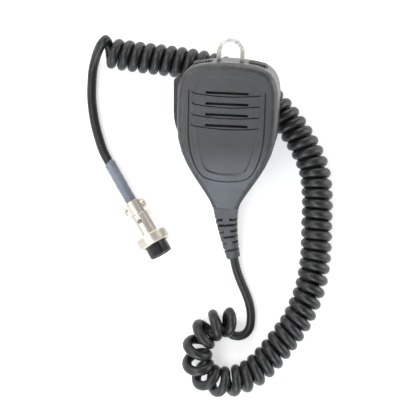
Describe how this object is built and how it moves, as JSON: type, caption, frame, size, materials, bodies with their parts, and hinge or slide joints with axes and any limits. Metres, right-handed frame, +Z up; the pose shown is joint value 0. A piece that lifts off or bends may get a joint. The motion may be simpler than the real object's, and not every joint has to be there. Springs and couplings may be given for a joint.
{
  "type": "hand microphone",
  "caption": "Hand microphone for an amateur radio set, with a side talk bar, two top keys, a steel hanging loop, a curly cord and a round multi-way plug.",
  "frame": {"origin": "on the table, under the middle of the head with its boot and loop", "axes": "+Z up from the table; +Y along the head from its cord boot to its hanging loop; +X to the right as the grille is looked at from above, the talk bar being on the -X side"},
  "size_m": [0.1431, 0.2061, 0.0498],
  "materials": {
    "case_plastic": "satin, fine moulded grain",
    "key_plastic": "satin",
    "boot_rubber": "matt",
    "cord_jacket": "satin",
    "loop_steel": "satin plated steel",
    "screw_steel": "zinc plated",
    "nickel_plate": "bright nickel plate",
    "switch_plastic": "satin",
    "white_plastic": "satin",
    "board_laminate": "solder resist",
    "capsule_can": "satin",
    "black_cloth": "thin open weave",
    "sleeve_plastic": "satin heat-shrink tube",
    "insert_plastic": "satin moulded",
    "contact_gold": "gold plated",
    "wire_red": "satin",
    "wire_white": "satin",
    "wire_green": "satin",
    "wire_blue": "satin",
    "wire_yellow": "satin"
  },
  "bodies": {
    "root": {"front_shell": "case_plastic", "rear_shell": "case_plastic", "case_screw_1": "screw_steel", "case_screw_2": "screw_steel", "case_screw_3": "screw_steel", "hanger_loop": "loop_steel", "ptt_pivot_pin": "screw_steel", "ptt_switch": "switch_plastic", "up_key_switch": "switch_plastic", "down_key_switch": "switch_plastic", "circuit_board": "board_laminate", "board_screw_1": "screw_steel", "board_screw_2": "screw_steel", "capsule_holder": "boot_rubber", "microphone_capsule": "capsule_can", "grille_cloth": "black_cloth", "cable_end": "cord_jacket", "cable_clamp": "screw_steel", "clamp_screw_1": "screw_steel", "clamp_screw_2": "screw_steel", "wire_header": "white_plastic", "wire_1": "wire_red", "wire_2": "wire_white", "wire_3": "wire_green", "wire_4": "wire_blue", "wire_5": "wire_yellow", "cord_boot": "boot_rubber", "cord_lead": "cord_jacket", "cord_coil": "cord_jacket", "cord_tail": "cord_jacket", "cord_sleeve": "sleeve_plastic", "plug_barrel": "nickel_plate", "cable_saddle": "nickel_plate", "saddle_screw_1": "nickel_plate", "saddle_screw_2": "nickel_plate", "barrel_screw": "screw_steel", "plug_insert": "insert_plastic", "contact_1": "contact_gold", "contact_2": "contact_gold", "contact_3": "contact_gold", "contact_4": "contact_gold", "contact_5": "contact_gold", "contact_6": "contact_gold", "contact_7": "contact_gold", "contact_8": "contact_gold"},
    "ptt": {"ptt_bar": "key_plastic"},
    "ptt_plunger": {"ptt_switch_plunger": "white_plastic"},
    "up_key_body": {"up_key": "key_plastic", "up_key_stem": "white_plastic"},
    "down_key_body": {"down_key": "key_plastic", "down_key_stem": "white_plastic"},
    "ring_carrier": {"ring_clip": "screw_steel"},
    "ring": {"coupling_ring": "nickel_plate"}
  },
  "joints": [
    {"name": "ptt_press", "type": "hinge", "parent": "root", "child": "ptt", "pos_m": [-0.0222, 0.01254, 0.02243], "axis": [0.1115, 0.2572, -0.9599], "range_deg": [0, 4], "stiffness_Nm_per_rad": 0.6},
    {"name": "ptt_switch_press", "type": "slide", "parent": "root", "child": "ptt_plunger", "axis": [0.9938, -0.0288, 0.1077], "range_m": [0, 0.00145]},
    {"name": "up_key_press", "type": "slide", "parent": "root", "child": "up_key_body", "axis": [0.1896, -0.9537, -0.2335], "range_m": [0, 0.0008], "stiffness_N_per_m": 1500},
    {"name": "down_key_press", "type": "slide", "parent": "root", "child": "down_key_body", "axis": [-0.1896, -0.9427, -0.2746], "range_m": [0, 0.0008], "stiffness_N_per_m": 1500},
    {"name": "ring_slide", "type": "slide", "parent": "root", "child": "ring_carrier", "axis": [0.5196, -0.848, 0.1045], "range_m": [-0.009, 0.0024]},
    {"name": "ring_spin", "type": "hinge", "parent": "ring_carrier", "child": "ring", "pos_m": [-0.04026, -0.05091, 0.0096], "axis": [0.5196, -0.848, 0.1045], "continuous": true}
  ],
  "couplings": [
    {"joint": "ptt_switch_press", "follows": "ptt_press", "m_per_rad": 0.0195}
  ]
}
